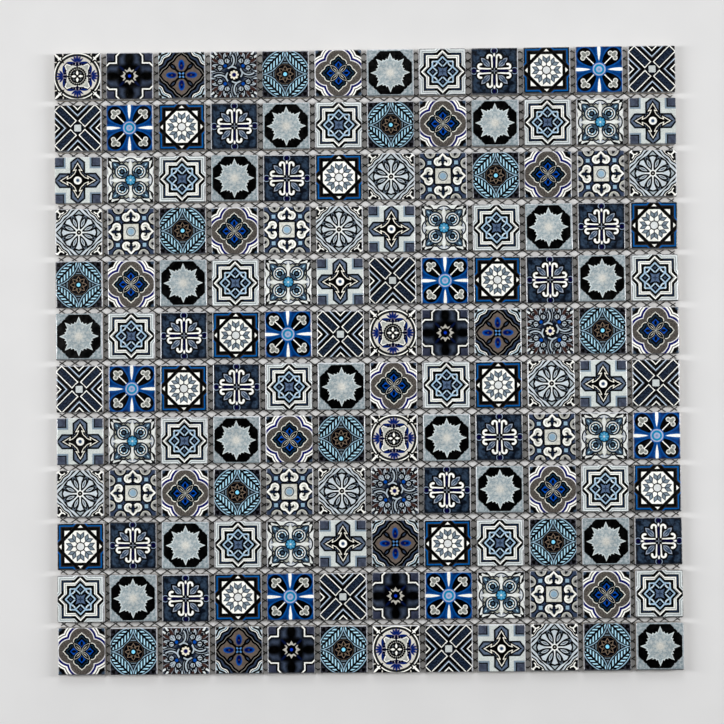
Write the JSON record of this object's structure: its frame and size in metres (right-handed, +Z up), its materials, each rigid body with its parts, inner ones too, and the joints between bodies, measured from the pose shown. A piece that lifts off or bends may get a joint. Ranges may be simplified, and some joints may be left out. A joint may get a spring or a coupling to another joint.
{
  "type": "mosaic tile sheet",
  "caption": "Square sheet of small glazed printed ceramic chips with open grout joints, bonded to a thin backing net.",
  "frame": {"origin": "centre of the underside of the net, on the ground under the middle of the sheet", "axes": "+X along a row of chips to the picture's right, +Y up the columns to the picture's top edge, +Z up out of the glazed faces"},
  "size_m": [0.3, 0.3, 0.006],
  "materials": {
    "palmette_medallion_glaze": "printed satin glaze",
    "midnight_cross_glaze": "printed satin glaze",
    "quatrefoil_diamond_glaze": "printed satin glaze",
    "scroll_thicket_glaze": "printed satin glaze",
    "leaf_wreath_glaze": "printed satin glaze",
    "bud_quatrefoil_glaze": "printed satin glaze",
    "silver_star_glaze": "printed satin glaze",
    "interlaced_star_glaze": "printed satin glaze",
    "fleur_cross_glaze": "printed satin glaze",
    "framed_rosette_glaze": "printed satin glaze",
    "pinwheel_glaze": "printed satin glaze",
    "lattice_cross_glaze": "printed satin glaze",
    "scroll_rosette_glaze": "printed satin glaze",
    "arrow_cross_glaze": "printed satin glaze",
    "flower_diamond_glaze": "printed satin glaze",
    "heart_glaze": "printed satin glaze",
    "net_thread": "matte bonded thread"
  },
  "bodies": {
    "root": {"palmette_medallion_tiles": "palmette_medallion_glaze", "midnight_cross_tiles": "midnight_cross_glaze", "quatrefoil_diamond_tiles": "quatrefoil_diamond_glaze", "scroll_thicket_tiles": "scroll_thicket_glaze", "leaf_wreath_tiles": "leaf_wreath_glaze", "bud_quatrefoil_tiles": "bud_quatrefoil_glaze", "silver_star_tiles": "silver_star_glaze", "interlaced_star_tiles": "interlaced_star_glaze", "fleur_cross_tiles": "fleur_cross_glaze", "framed_rosette_tiles": "framed_rosette_glaze", "pinwheel_tiles": "pinwheel_glaze", "lattice_cross_tiles": "lattice_cross_glaze", "scroll_rosette_tiles": "scroll_rosette_glaze", "arrow_cross_tiles": "arrow_cross_glaze", "flower_diamond_tiles": "flower_diamond_glaze", "heart_tiles": "heart_glaze", "net_rising_threads": "net_thread", "net_falling_threads": "net_thread"}
  },
  "joints": []
}
